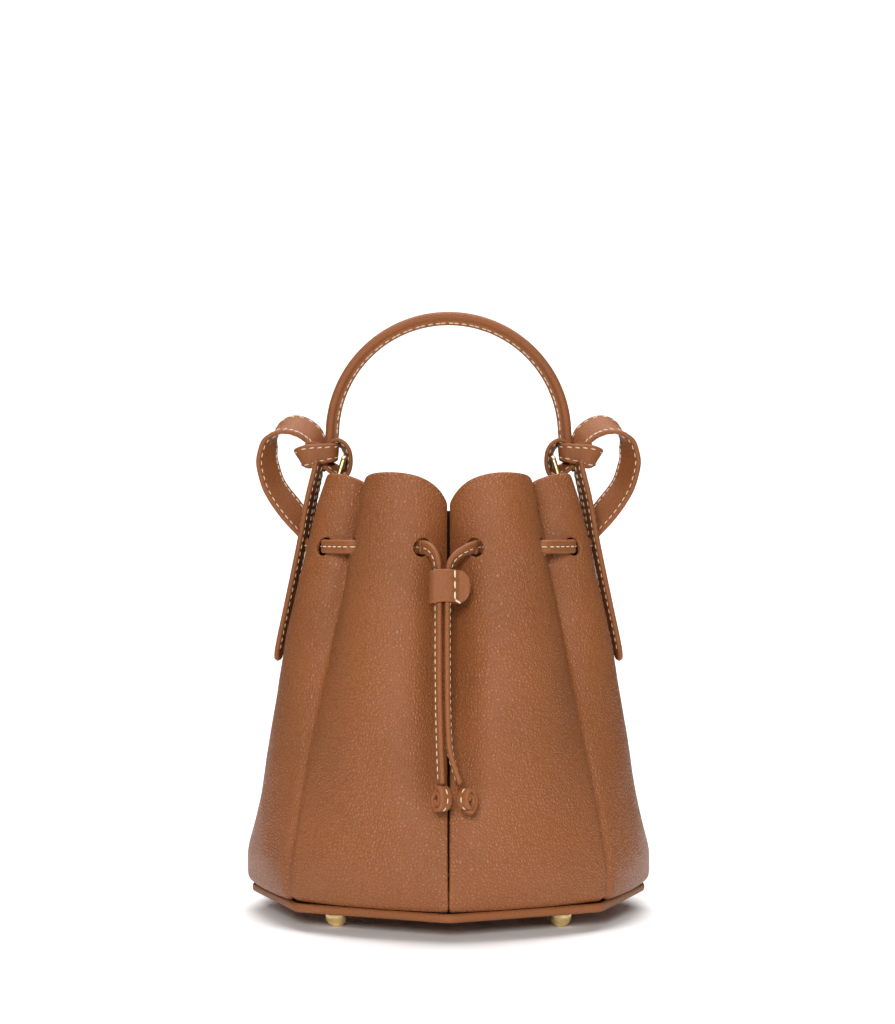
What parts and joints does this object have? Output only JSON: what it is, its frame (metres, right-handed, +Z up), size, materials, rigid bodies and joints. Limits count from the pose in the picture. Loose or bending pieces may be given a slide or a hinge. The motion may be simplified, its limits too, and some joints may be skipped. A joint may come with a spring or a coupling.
{
  "type": "bucket bag",
  "caption": "Drawcord bucket bag with a fluted leather body on an octagonal base, ball feet and a rolled handle knotted to side rings.",
  "frame": {"origin": "on the ground under the middle of the base, at the feet's undersides", "axes": "+Z up, front towards -Y, +X to the right of somebody facing the front"},
  "size_m": [0.1988, 0.2006, 0.2952],
  "materials": {
    "body_leather": "pebbled grain, satin",
    "strap_leather": "fine grain, satin",
    "cord_leather": "fine grain, satin",
    "lining": "microfibre, matt",
    "base_board": "matt",
    "gold": "polished"
  },
  "bodies": {
    "bag": {"panel_front_left": "body_leather", "panel_front_right": "body_leather", "panel_back_left": "body_leather", "panel_back_right": "body_leather", "base_rim": "body_leather", "base_panel": "body_leather", "lining_front_left": "lining", "lining_front_right": "lining", "lining_back_left": "lining", "lining_back_right": "lining", "lining_floor": "lining", "base_board": "base_board", "feet": "gold", "foot_washers": "gold", "foot_nuts": "gold", "ring_left": "gold", "ring_right": "gold", "knot_band_left": "strap_leather", "knot_band_right": "strap_leather", "handle_end_left": "strap_leather", "handle_end_right": "strap_leather", "bow_left": "strap_leather", "bow_right": "strap_leather", "ring_eye_left": "strap_leather", "ring_eye_right": "strap_leather", "ring_tab_left": "strap_leather", "ring_tab_right": "strap_leather", "drawcord": "cord_leather"},
    "handle": {"handle": "strap_leather", "handle_core": "base_board"},
    "tail_left": {"tail_left": "strap_leather"},
    "tail_right": {"tail_right": "strap_leather"},
    "cord_ends": {"lace_left": "cord_leather", "lace_right": "cord_leather", "lace_knot_left": "cord_leather", "lace_knot_right": "cord_leather"},
    "slider": {"cord_slider": "cord_leather"}
  },
  "joints": [
    {"name": "handle_swing", "type": "hinge", "parent": "bag", "child": "handle", "pos_m": [0, 0, 0.236], "axis": [1, 0, 0], "range_deg": [-75, 75]},
    {"name": "tail_left_lift", "type": "hinge", "parent": "bag", "child": "tail_left", "pos_m": [-0.07, -0.0092, 0.2154], "axis": [0, 1, 0], "range_deg": [0, 60]},
    {"name": "tail_right_lift", "type": "hinge", "parent": "bag", "child": "tail_right", "pos_m": [0.07, -0.0092, 0.2154], "axis": [0, -1, 0], "range_deg": [0, 60]},
    {"name": "cord_ends_lift", "type": "hinge", "parent": "bag", "child": "cord_ends", "pos_m": [0, -0.06931, 0.1795], "axis": [-1, 0, 0], "range_deg": [0, 80]},
    {"name": "slider_slide", "type": "slide", "parent": "cord_ends", "child": "slider", "axis": [0, -0.1908, -0.9816], "range_m": [0, 0.055]}
  ]
}
